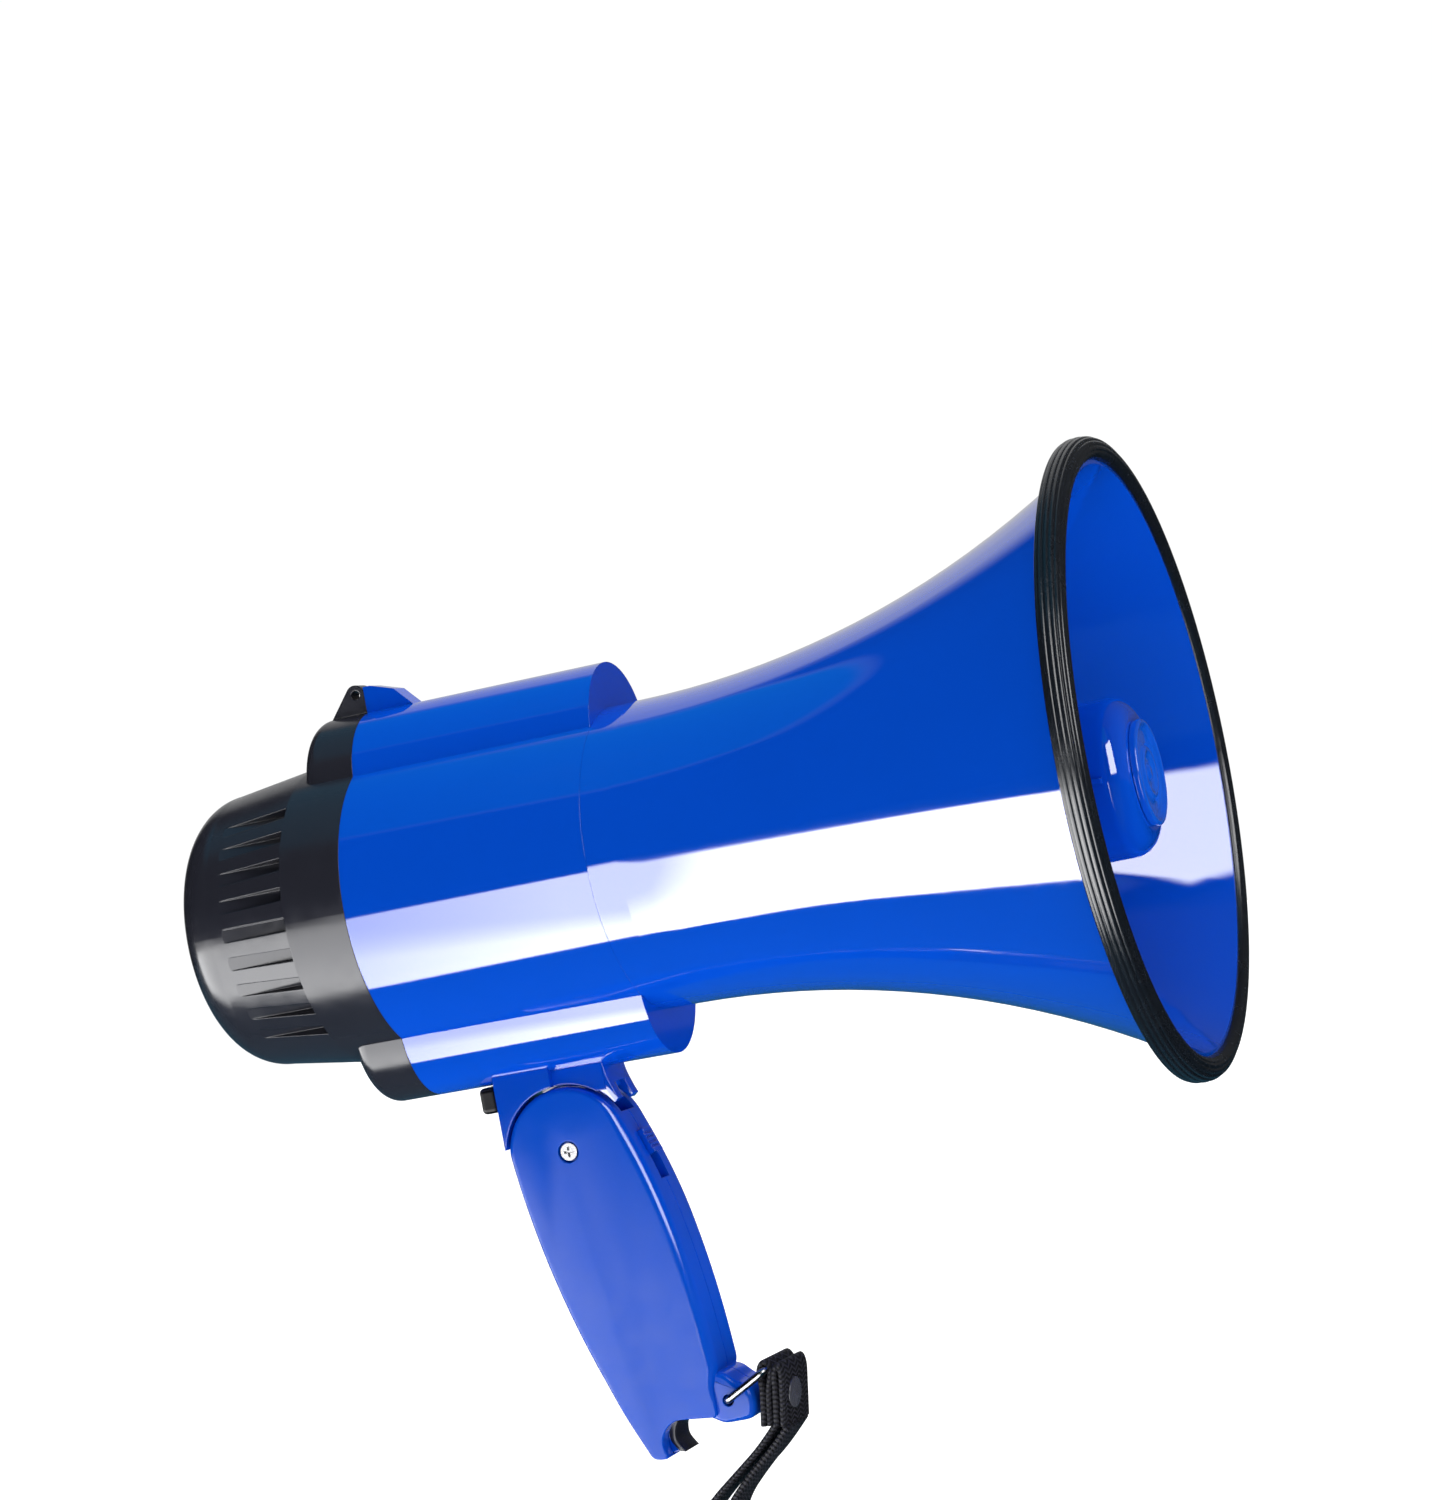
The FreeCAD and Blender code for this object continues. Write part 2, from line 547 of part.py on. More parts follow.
def handle_bracket():
    """Gusset and block moulded to the lower lobe's curve, with the tongue that enters the handle."""
    gusset = block(("gusset_back - 1.5", "2 * grip_half", "30"), from_pivot("-(gusset_back + 1.5) / 2", 0, 18))
    front = block(("block_front + 1.5", "2 * block_half", "14"), from_pivot("(block_front - 1.5) / 2", 0, 21))
    seat = cross_rod("seat_round", 0, 0, -15, 15)
    neck = block(("2 * neck_half", "2 * tongue_half", "18"), from_pivot(0, 0, 10))
    eye = cross_rod("10.5", 0, 0, "-tongue_half", "tongue_half")
    bore = cross_rod("boss + 0.05", 0, 0, "-tongue_half", "tongue_half")
    lobe = disc("lobe_radius", "seam_front", "seam_back - seam_front", LOBES["bottom"])
    pocket = block(("5.4", "7.2", "6"), from_pivot(-13.5, 0, "button_z + 0.6"))
    way = rod("2", "3", from_pivot(-18, 0, "button_z"))
    screw_ways = [rod("1.4", "12", from_pivot(x, 0, 12), "Z") for x in BRACKET_SCREWS]
    moulding = cut(join(gusset, front), seat)
    sub_part(cut(join(moulding, neck, eye), bore, lobe, pocket, way, *screw_ways), "handle_bracket")
    screws = []
    for x in BRACKET_SCREWS:
        screws.append(rod("2.6", "1.2", (f"pivot_x + {x}", "0", SCREW_SEAT), "Z"))
        screws.append(rod("1.4", "8.5", (f"pivot_x + {x}", "0", f"{SCREW_SEAT} - 8.5"), "Z"))
    sub_part(join(*screws), "bracket_screws")
    sub_part(block(("3.8", "7", "5.2"), from_pivot(-12.8, 0, "button_z + 0.4")), "siren_switch")
    cap = block(("4.7", "8.4", "6.8"), from_pivot(-21.65, 0, "button_z - 0.4"))
    sub_part(join(rounded(cap, "1.2"), rod("1.95", "5", from_pivot(-21.6, 0, "button_z"))), "siren_button")


# Handle -------------------------------------------------------------------------------------------

def grip_outline():
    """The grip's side view, from the pivot: round top, bowed front and back, and a hooked heel."""
    return (
        ("-16.4", "1.7"),
        ("15.4", "5.9", "grip_round", 1),
        ("23.6", "-20", "front_upper", 1),
        ("28.6", "-60", "front_lower", 1),
        ("26.6", "-64.5"),
        ("26.6", "-72.2"),
        ("15.9", "-71.5"),
        ("11.8", "-81", "6", -1),
        ("8.2", "-80.8"),
        ("6.6", "-78.9", "2", 1),
        ("-16.4", "1.7", "back_round", 1))


def grip_hollow():
    return (
        ("-14", "1.4"),
        ("13.1", "5.1", "grip_round - grip_wall - 0.1", 1),
        ("21.2", "-20", "front_upper - grip_wall", 1),
        ("24.2", "-58", "front_lower - grip_wall", 1),
        ("24.2", "-69.6"),
        ("14", "-69"),
        ("6.8", "-72.4"),
        ("-14", "1.4", "back_round - grip_wall", 1))


def lug_outline():
    return (
        ("20", "-62"),
        ("28.8", "-61.5"),
        ("31.5", "-63"),
        ("35.6", "-65.2", "6", -1),
        ("36.4", "-72", "8", 1),
        ("34.4", "-74.1", "2.6", 1),
        ("27.6", "-74.2"),
        ("25", "-72.2"),
        ("20", "-71"),
        ("20", "-62"))


POSTS = ((2, -24), (14, -46), (7, -60))
SLIDE_TURN = -20.8


def along_front(normal, down, side=0):
    """A point of the talk switch: out from the grip's front face, and down along it."""
    turn = math.radians(-SLIDE_TURN)
    out = (math.cos(turn), math.sin(turn))
    x = f"slider_x + ({normal}) * {out[0]} + ({down}) * {out[1]}"
    z = f"slider_z + ({normal}) * {out[1]} - ({down}) * {out[0]}"
    return from_pivot(x, side, z)


def front_block(size, normal, down):
    """A box along the front face: size out from the face, across it and down it."""
    turned_to = Rotation(Vector(0, 1, 0), SLIDE_TURN)
    return block(size, along_front(normal, down), turned_to)


def rounded(base, radius, chosen=None):
    """The piece with its chosen edges rounded, or all of them."""
    doc.recompute()
    fillet = doc.addObject("Part::Fillet", "Rounded")
    fillet.Base = base
    size = number(radius)
    fillet.Edges = [(index, size, size) for index, edge in enumerate(base.Shape.Edges, start=1)
                    if chosen is None or chosen(edge.BoundBox)]
    return fillet


def grip_shell(side, fillet):
    """One half of the handle. side is -1 for the right half and 1 for the left half."""
    reverse = side > 0
    outer = padded("grip_half", reverse, *grip_outline())
    face = side * number("grip_half")
    outer = rounded(outer, fillet, lambda box: abs(box.YMin - face) < 1e-4 and abs(box.YMax - face) < 1e-4)
    lug = padded("lug_half", reverse, *lug_outline())
    hollow = padded("grip_half - grip_wall", reverse, *grip_hollow())
    lug_hole = cross_rod("wire + 0.05", "bail_x", "bail_z", -15, 15)
    neck_way = bind(doc.addObject("Part::Cylinder", "Sector"), Radius="19", Height="2 * tongue_half + 0.4",
                    Angle="88")
    towards_top = Rotation(Vector(0, 1, 0), -26).multiply(TO_AXIS["Y"])
    turn = towards_top.multiply(Rotation(Vector(0, 0, 1), -90))
    place(neck_way, from_pivot(0, "-tongue_half - 0.2", 0), turn)
    slot = front_block(("8", "5.8", "slider_travel + 7.1"), 0, "slider_travel / 2")
    shell = cut(join(outer, lug), hollow, lug_hole, neck_way, slot)
    inner = "grip_half - grip_wall"
    if side < 0:
        span = ("-grip_half + 1", "0")
        collar_span = (f"-({inner}) - 0.5", "-tongue_half - 0.1")
    else:
        span = ("0", "grip_half - 1")
        collar_span = ("tongue_half + 0.1", f"{inner} + 0.5")
    solids = [cross_rod("boss", 0, 0, *span), cross_rod("collar", 0, 0, *collar_span)]
    solids += [cross_rod("3.2", x, z, *span) for x, z in POSTS]
    holes = [cross_rod("screw_way", 0, 0, -12, 12)]
    insert_way = padded("5.1", reverse, *insert_outline("0.05"))
    if side < 0:
        holes.append(cross_rod("head_recess", 0, 0, -12, "-grip_half + 1.9"))
        holes += [cross_rod("screw_way", x, z, -6, 0) for x, z in POSTS]
    else:
        holes.append(hexagon("nut_flats + 0.2", "grip_half - 2.2", 4))
        holes += [cross_rod("screw_way", x, z, 0, 12) for x, z in POSTS]
        holes += [cross_rod("2.7", x, z, 4, 12) for x, z in POSTS]
    return cut(join(shell, *solids), insert_way, *holes)


def hexagon(flats, start, length):
    """A six-sided prism about the pivot, across the handle."""
    prism = bind(doc.addObject("Part::Prism", "Hexagon"), Circumradius=f"({flats}) / sqrt(3)", Height=length)
    prism.Polygon = 6
    return place(prism, from_pivot(0, start, 0), TO_AXIS["Y"])


def insert_outline(grow):
    """The black piece let into the heel's hook, seen from the side."""
    return (
        (f"10.2 - {grow}", f"-70 + {grow}"),
        (f"14.1 + {grow}", f"-70 + {grow}"),
        (f"14.1 + {grow}", "-72.3"),
        (f"14.5 + {grow}", f"-79.9 - {grow}", "9", -1),
        (f"10.2 - {grow}", f"-79.9 - {grow}"),
        (f"10.2 - {grow}", f"-70 + {grow}"))


def handle():
    sub_part(grip_shell(-1, "1.6"), "handle_right")
    sub_part(grip_shell(1, "1.6"), "handle_left")
    head = cross_rod("screw_head", 0, 0, "-grip_half + 0.4", "-grip_half + 1.9")
    shank = cross_rod("screw_shank", 0, 0, "-grip_half + 1.5", "grip_half - 0.6")
    drive = [cross_block(size) for size in (("2.6", "1.2", "0.6"), ("0.6", "1.2", "2.6"))]
    sub_part(cut(join(head, shank), *drive), "pivot_screw")
    nut = cut(hexagon("nut_flats", "grip_half - 2.2", 1.9), cross_rod("screw_shank + 0.03", 0, 0, 0, 15))
    sub_part(nut, "pivot_nut")
    screws = []
    for x, z in POSTS:
        screws.append(cross_rod("screw_head", x, z, 4, 5.6))
        screws.append(cross_rod("screw_shank", x, z, -5.5, 4))
    sub_part(join(*screws), "handle_screws")
    sub_part(padded_between(insert_outline("0"), 5), "heel_insert")
    sub_part(front_block(("6.5", "6.6", "12"), -8.4, 15), "talk_switch")
    slider = [front_block(("3.2", "5.4", "6.8"), 0.1, 0), front_block(("2.4", "2.6", "4"), -2.4, 0),
              front_block(("0.8", "7.4", "9"), -3.65, 0)]
    grooves = [front_block(("1.2", "6", "0.6"), 1.9, step * 1.3 - 1.95) for step in range(4)]
    sub_part(cut(join(*slider), *grooves), "talk_slider")


def cross_block(size):
    return block(size, from_pivot(0, "-grip_half + 0.6", 0))


def padded_between(steps, half):
    body = padded(f"2 * {half}", False, *steps)
    body.Group[-1].Midplane = True
    return body


# Bail, tab and strap ------------------------------------------------------------------------------

def bail():
    """Rectangular wire ring: one bar through the handle's lug, the other in the webbing's fold."""
    ends = (("bail_x", "bail_z"), ("bar_x", "bar_z"))
    pieces = [cross_rod("wire", x, z, "-leg_side", "leg_side") for x, z in ends]
    run = number("bar_x - bail_x")
    rise = number("bar_z - bail_z")
    leaning = Rotation(Vector(0, 0, 1), Vector(run, 0, rise))
    for side in ("-leg_side", "leg_side"):
        leg = bind(doc.addObject("Part::Cylinder", "Leg"), Radius="wire",
                   Height="sqrt((bar_x - bail_x) ^ 2 + (bar_z - bail_z) ^ 2)")
        pieces.append(place(leg, from_pivot("bail_x", side, "bail_z"), leaning))
        for x, z in ends:
            corner = bind(doc.addObject("Part::Sphere", "Corner"), Radius="wire")
            pieces.append(place(corner, from_pivot(x, side, z)))
    sub_part(join(*pieces), "bail")
    stack = block(("tab_front - tab_back", "2 * webbing_half", "tab_top - tab_bottom"),
                  from_pivot("(tab_back + tab_front) / 2", 0, "(tab_top + tab_bottom) / 2"))
    stack = rounded(stack, "1.4", lambda box: box.YLength > 10)
    bar_way = cross_rod("wire + 0.05", "bar_x", "bar_z", -15, 15)
    rivet_way = rod("1.5", "12", from_pivot("tab_back - 1", "-1.5", -68.8))
    sub_part(cut(stack, bar_way, rivet_way), "strap_tab")
    heads = [rod("4", "0.8", from_pivot("tab_front", "-1.5", -68.8)),
             rod("1.5", "tab_front - tab_back + 0.8", from_pivot("tab_back", "-1.5", -68.8))]
    sub_part(join(*heads), "strap_rivet")
    sub_part(strap(), "wrist_strap")


STRAP_ROUTE = (
    (41.2, -76), (36.4, -81), (30.2, -85.8), (18.6, -94.6), (6, -108), (-6, -130), (-16, -160),
    (-17, -192), (-3, -218), (19, -228), (40, -217), (51, -191), (45.5, -160), (30, -132), (20, -112),
    (22.4, -97.2), (32, -87.6), (38.6, -82.6), (44, -77))


def strap():
    """Nylon webbing in one loop, straight runs joined by tangent arcs, its width across the handle."""
    points = [Vector(x, 0, z) for x, z in STRAP_ROUTE]
    edges = []
    here = points[0]
    radii = []
    for before, corner, after in zip(points, points[1:], points[2:]):
        towards = (corner - before).normalize()
        away = (after - corner).normalize()
        turn = towards.getAngle(away)
        shorter = min((corner - before).Length, (after - corner).Length)
        radius = 0.45 * shorter / math.tan(turn / 2)
        start = corner - towards * 0.45 * shorter
        end = corner + away * 0.45 * shorter
        middle = corner + (away - towards).normalize() * radius * (1 / math.cos(turn / 2) - 1)
        edges.append(Part.LineSegment(here, start).toShape())
        edges.append(Part.Arc(start, middle, end).toShape())
        radii.append(round(radius, 1))
        here = end
    edges.append(Part.LineSegment(here, points[-1]).toShape())
    path = Part.Wire(edges)
    thickness = sheet.webbing
    width = 2 * sheet.webbing_half
    faces = [path.makeOffset2D(side * thickness / 2, join=0, openResult=True) for side in (1, -1)]
    tips = [[face.OrderedVertexes[end].Point for face in faces] for end in (0, -1)]
    rim = [edge for face in faces for edge in face.Edges]
    rim += [Part.LineSegment(*tip).toShape() for tip in tips]
    band = Part.Face(Part.Wire(Part.__sortEdges__(rim))).extrude(Vector(0, width, 0))
    print("strap radii", radii)
    piece = doc.addObject("Part::Feature", "Strap")
    piece.Shape = band
    place(piece, from_pivot(0, "-webbing_half", 0))
    inside_tab = block(("tab_front - tab_back", "3 * webbing_half", "8"),
                       from_pivot("(tab_back + tab_front) / 2", 0, "tab_bottom + 4"))
    print("strap length", round(path.Length, 1), "volume", round(band.Volume), "of",
          round(path.Length * thickness * width))
    return cut(piece, inside_tab)


def main():
    horn_bell()
    rim_guard()
    reflector()
    driver()
    body_shell()
    batteries()
    amplifier()
    rear_cover()
    handle_bracket()
    handle()
    bail()
    doc.recompute()
    for piece in doc.Objects:
        if "Invalid" in piece.State or "Error" in piece.State:
            raise RuntimeError(f"{piece.Label} failed: {piece.State}")
    os.makedirs("parts", exist_ok=True)
    for piece in PARTS:
        shape = piece.Shape
        if shape.isNull() or not shape.isValid():
            raise RuntimeError(f"{piece.Label} has no valid shape")
        print(piece.Label, len(shape.Solids), "solid(s)", round(shape.Volume / 1000, 2), "cm3")
        shape.exportStep(f"parts/{piece.Label}.step")


main()
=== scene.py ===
"""Looks of the cheer megaphone: camera, studio, materials and detailed pieces on the fixed frame.

Metres, in the row frame: +X to the mouth, +Z up, origin at the middle of the grip.
"""
import json
import math
import bmesh
import bpy
from mathutils import Matrix, Vector


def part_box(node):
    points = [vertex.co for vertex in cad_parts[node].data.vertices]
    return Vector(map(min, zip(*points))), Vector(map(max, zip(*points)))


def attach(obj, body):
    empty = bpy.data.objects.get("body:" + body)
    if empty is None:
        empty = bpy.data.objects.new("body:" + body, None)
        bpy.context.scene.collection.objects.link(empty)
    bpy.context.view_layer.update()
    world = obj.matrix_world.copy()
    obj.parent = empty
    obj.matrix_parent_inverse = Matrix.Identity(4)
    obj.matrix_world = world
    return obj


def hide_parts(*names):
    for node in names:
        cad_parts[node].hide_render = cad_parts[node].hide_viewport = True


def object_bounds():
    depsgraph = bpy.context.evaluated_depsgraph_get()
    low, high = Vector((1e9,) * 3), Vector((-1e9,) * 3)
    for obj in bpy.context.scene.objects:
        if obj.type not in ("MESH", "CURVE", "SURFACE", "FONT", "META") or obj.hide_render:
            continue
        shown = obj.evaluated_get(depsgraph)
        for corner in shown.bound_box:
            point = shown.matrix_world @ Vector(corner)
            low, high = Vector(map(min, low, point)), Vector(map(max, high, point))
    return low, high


MM = 0.001
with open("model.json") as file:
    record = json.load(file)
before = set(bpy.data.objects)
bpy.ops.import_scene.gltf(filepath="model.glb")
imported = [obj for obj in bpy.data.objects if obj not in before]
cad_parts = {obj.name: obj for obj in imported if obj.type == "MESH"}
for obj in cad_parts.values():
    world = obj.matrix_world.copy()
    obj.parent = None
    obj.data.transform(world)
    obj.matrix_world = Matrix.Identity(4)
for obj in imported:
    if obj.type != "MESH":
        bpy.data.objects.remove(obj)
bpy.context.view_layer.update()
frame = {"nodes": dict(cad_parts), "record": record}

# Measures of the fixed frame ----------------------------------------------------------------------

rim_low, rim_high = (Vector(corner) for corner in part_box("rim_guard"))
MOUTH = rim_high.x
AXIS_Z = (rim_low.z + rim_high.z) / 2
screw_low, screw_high = (Vector(corner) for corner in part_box("pivot_screw"))
PIVOT = Vector(((screw_low.x + screw_high.x) / 2, 0, (screw_low.z + screw_high.z) / 2))


# Camera and studio --------------------------------------------------------------------------------

def add_camera():
    """Camera to the front right of the mouth, a little below the horn, rolled so that the mouth lifts."""
    eye = Vector((0.3561, -0.8756, 0.0929))
    aim = Vector((0.0469, 0.0, 0.1280))
    back = (eye - aim).normalized()
    level = Vector((0, 0, 1)).cross(back).normalized()
    upright = back.cross(level)
    roll = math.radians(10.82)
    right = level * math.cos(roll) - upright * math.sin(roll)
    up = level * math.sin(roll) + upright * math.cos(roll)
    data = bpy.data.cameras.new("camera")
    data.sensor_fit = "HORIZONTAL"
    data.sensor_width = 36
    data.lens = 91.96
    data.clip_end = 50
    camera = bpy.data.objects.new("camera", data)
    bpy.context.collection.objects.link(camera)
    turn = Matrix((right, up, back)).transposed().to_4x4()
    camera.matrix_world = Matrix.Translation(eye) @ turn
    bpy.context.scene.camera = camera


class Nodes:
    """Short calls for building one node tree."""

    def __init__(self, tree):
        self.tree = tree
        tree.nodes.clear()

    def add(self, kind, settings=None, **inputs):
        node = self.tree.nodes.new(kind)
        for name, value in (settings or {}).items():
            setattr(node, name, value)
        for name, value in inputs.items():
            socket = node.inputs[int(name[1:])] if name[1:].isdigit() else node.inputs[name.replace("_", " ")]
            if isinstance(value, bpy.types.NodeSocket):
                self.tree.links.new(value, socket)
            else:
                socket.default_value = value
        return node

    def math(self, operation, first, second=0.0, third=0.0, clamp=False):
        node = self.add("ShaderNodeMath", {"operation": operation, "use_clamp": clamp},
                        i0=first, i1=second, i2=third)
        return node.outputs[0]

    def between(self, value, low, high, soft):
        """1 where low < value < high, with soft edges."""
        rise = self.add("ShaderNodeMapRange", {"interpolation_type": "SMOOTHSTEP"}, Value=value,
                        From_Min=low - soft, From_Max=low + soft).outputs[0]
        fall = self.add("ShaderNodeMapRange", {"interpolation_type": "SMOOTHSTEP"}, Value=value,
                        From_Min=high - soft, From_Max=high + soft, To_Min=1.0, To_Max=0.0).outputs[0]
        return self.math("MULTIPLY", rise, fall)


def add_world():
    """White room with a dark wall on the near side and one bright soft panel low in front of it.

    turn and lift are a ray's bearing from -Y towards +X and its height, in degrees. Glossy rays see a
    dimmer room than diffuse ones, and rays straight from the camera see plain white.
    """
    world = bpy.data.worlds.new("studio")
    bpy.context.scene.world = world
    world.use_nodes = True
    n = Nodes(world.node_tree)
    way = n.add("ShaderNodeTexCoord").outputs["Generated"]
    x, y, z = n.add("ShaderNodeSeparateXYZ", Vector=way).outputs
    lift = n.math("MULTIPLY", n.math("ARCSINE", z), 180 / math.pi)
    turn = n.math("MULTIPLY", n.math("ARCTAN2", x, n.math("MULTIPLY", y, -1.0)), 180 / math.pi)
    side = n.between(turn, -138, 70, 5)
    dark = n.math("MULTIPLY", side, n.between(lift, -5, 80, 3))
    slant = n.math("MAXIMUM", n.math("SUBTRACT", -45.0, turn), 0.0)
    foot = n.math("SUBTRACT", n.math("MULTIPLY", slant, 0.73), 53.0)
    above = n.math("MULTIPLY_ADD", n.math("SUBTRACT", lift, foot), 1.0, 0.5, clamp=True)
    panel = n.math("MULTIPLY", n.between(turn, -88, 12, 3), n.between(lift, -60, -3.8, 0.6))
    panel = n.math("MULTIPLY", panel, above)
    beside = n.math("MULTIPLY", n.between(turn, 33, 62, 1.5), n.between(lift, 6, 47, 1.5))
    under = n.math("LESS_THAN", lift, -2.0)
    over = n.math("MULTIPLY", n.between(turn, -138, 52, 5), n.between(lift, 50, 95, 1.5))
    fade = n.add("ShaderNodeMapRange", Value=turn, From_Min=-31.0, From_Max=-26.0, To_Min=1.0,
                 To_Max=0.62).outputs[0]
    rays = n.add("ShaderNodeLightPath").outputs
    ceiling = n.add("ShaderNodeMapRange", Value=lift, From_Min=20.0, From_Max=80.0, To_Min=1.0,
                    To_Max=1.9).outputs[0]
    room = n.math("MULTIPLY", ceiling, n.math("SUBTRACT", 1.0, n.math("MULTIPLY", dark, 0.9)))
    shine = n.math("MULTIPLY", n.math("SUBTRACT", 1.0, n.math("MULTIPLY", dark, 0.99)), 0.55)
    shine = n.math("MULTIPLY", shine, n.math("SUBTRACT", 1.0, n.math("MULTIPLY", under, 0.7)))
    ahead = n.between(turn, 66, 190, 4)
    shine = n.math("MULTIPLY", shine, n.math("SUBTRACT", 1.0, n.math("MULTIPLY", ahead, 0.9)))
    cool = n.math("MAXIMUM", n.math("MULTIPLY", under, 0.9), over)
    shine = n.math("MAXIMUM", shine, n.math("MULTIPLY", over, 0.5))
    lamps = n.math("MAXIMUM", n.math("MULTIPLY", panel, n.math("MULTIPLY", fade, 13.0)),
                   n.math("MULTIPLY", beside, 9.0))
    cool = n.math("MULTIPLY", cool, n.math("LESS_THAN", lamps, 0.3))
    shine = n.math("MAXIMUM", shine, lamps)
    glossy = rays["Is Glossy Ray"]
    seen = n.math("ADD", n.math("MULTIPLY", glossy, shine),
                  n.math("MULTIPLY", n.math("SUBTRACT", 1.0, glossy), room))
    seen = n.math("MAXIMUM", seen, n.math("MULTIPLY", rays["Is Camera Ray"], 1.02))
    tone = n.add("ShaderNodeMix", {"data_type": "RGBA"})
    n.tree.links.new(n.math("MULTIPLY", cool, glossy), tone.inputs["Factor"])
    tone.inputs[6].default_value = (1, 1, 1, 1)
    tone.inputs[7].default_value = (0.03, 0.5, 0.85, 1)
    back = n.add("ShaderNodeBackground", Color=tone.outputs[2], Strength=seen)
    n.add("ShaderNodeOutputWorld", Surface=back.outputs[0])


def add_area(name, place, aim, size, power):
    """Soft rectangular light, in watts, that neither reflections nor the camera show."""
    data = bpy.data.lights.new(name, "AREA")
    data.shape = "RECTANGLE"
    data.size, data.size_y = size
    data.energy = power
    light = bpy.data.objects.new(name, data)
    bpy.context.collection.objects.link(light)
    light.location = place
    light.rotation_euler = (Vector(aim) - Vector(place)).to_track_quat("-Z", "Y").to_euler()
    light.visible_glossy = False
    light.visible_camera = False


def add_floor():
    """White floor just under the strap, lit and glowing so that it runs into the white room."""
    mesh = bpy.data.meshes.new("floor")
    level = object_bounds()[0][2] - 0.012
    reach = 9
    corners = [(x * reach, y * reach, level) for x, y in ((-1, -1), (1, -1), (1, 1), (-1, 1))]
    mesh.from_pydata(corners, [], [(0, 1, 2, 3)])
    floor = bpy.data.objects.new("floor", mesh)
    bpy.context.collection.objects.link(floor)
    material = bpy.data.materials.new("floor_white")
    material.use_nodes = True
    n = Nodes(material.node_tree)
    skin = n.add("ShaderNodeBsdfDiffuse", Color=(0.9, 0.9, 0.9, 1))
    glow = n.add("ShaderNodeEmission", Color=(1, 1, 1, 1), Strength=0.62)
    both = n.add("ShaderNodeAddShader", i0=skin.outputs[0], i1=glow.outputs[0])
    n.add("ShaderNodeOutputMaterial", Surface=both.outputs[0])
    mesh.materials.append(material)
    floor.visible_glossy = False


# Materials ----------------------------------------------------------------------------------------

def moulded(name, color, rough=0.12, coat=0.6, grain=0.3, depth=0.00001, vary=0.05, metallic=0.0,
            shine=0.5, edge=0.0, polish=None):
    """Moulded plastic, rubber or metal: faint colour drift, uneven gloss, a fine skin and soft edges.
    polish(n, x, y) gives the share, 0 to 1, of full gloss at a place, from its row coordinates."""
    material = bpy.data.materials.new(name)
    material.use_nodes = True
    n = Nodes(material.node_tree)
    at = n.add("ShaderNodeTexCoord").outputs["Object"]
    drift = n.add("ShaderNodeTexNoise", Vector=at, Scale=38.0, Detail=3.0).outputs["Fac"]
    speck = n.add("ShaderNodeTexNoise", Vector=at, Scale=1000 / grain, Detail=2.0).outputs["Fac"]
    smear = n.add("ShaderNodeTexNoise", Vector=at, Scale=150.0, Detail=4.0, Roughness=0.7).outputs["Fac"]
    shade = n.add("ShaderNodeMapRange", Value=drift, To_Min=1.0 - vary, To_Max=1.0 + vary).outputs[0]
    tint = n.add("ShaderNodeVectorMath", {"operation": "SCALE"}, i0=color, Scale=shade).outputs[0]
    gloss = n.add("ShaderNodeMapRange", Value=smear, From_Min=0.35, From_Max=0.75, To_Min=rough * 0.8,
                  To_Max=rough * 1.35).outputs[0]
    bump = n.add("ShaderNodeBump", Height=speck, Strength=1.0, Distance=depth)
    if edge:
        soft = n.add("ShaderNodeBevel", {"samples": 6}, Radius=edge)
        n.tree.links.new(soft.outputs[0], bump.inputs["Normal"])
    bump = bump.outputs[0]
    skin = n.add("ShaderNodeBsdfPrincipled", Base_Color=tint, Roughness=gloss, Normal=bump,
                 Metallic=metallic, Coat_Weight=coat, Coat_Roughness=min(rough * 0.5, 0.05))
    if polish:
        x, y, _ = n.add("ShaderNodeSeparateXYZ", Vector=at).outputs
        n.tree.links.new(n.math("MULTIPLY", polish(n, x, y), coat), skin.inputs["Coat Weight"])
    skin.inputs["Specular IOR Level"].default_value = shine
    n.add("ShaderNodeOutputMaterial", Surface=skin.outputs[0])
    return material


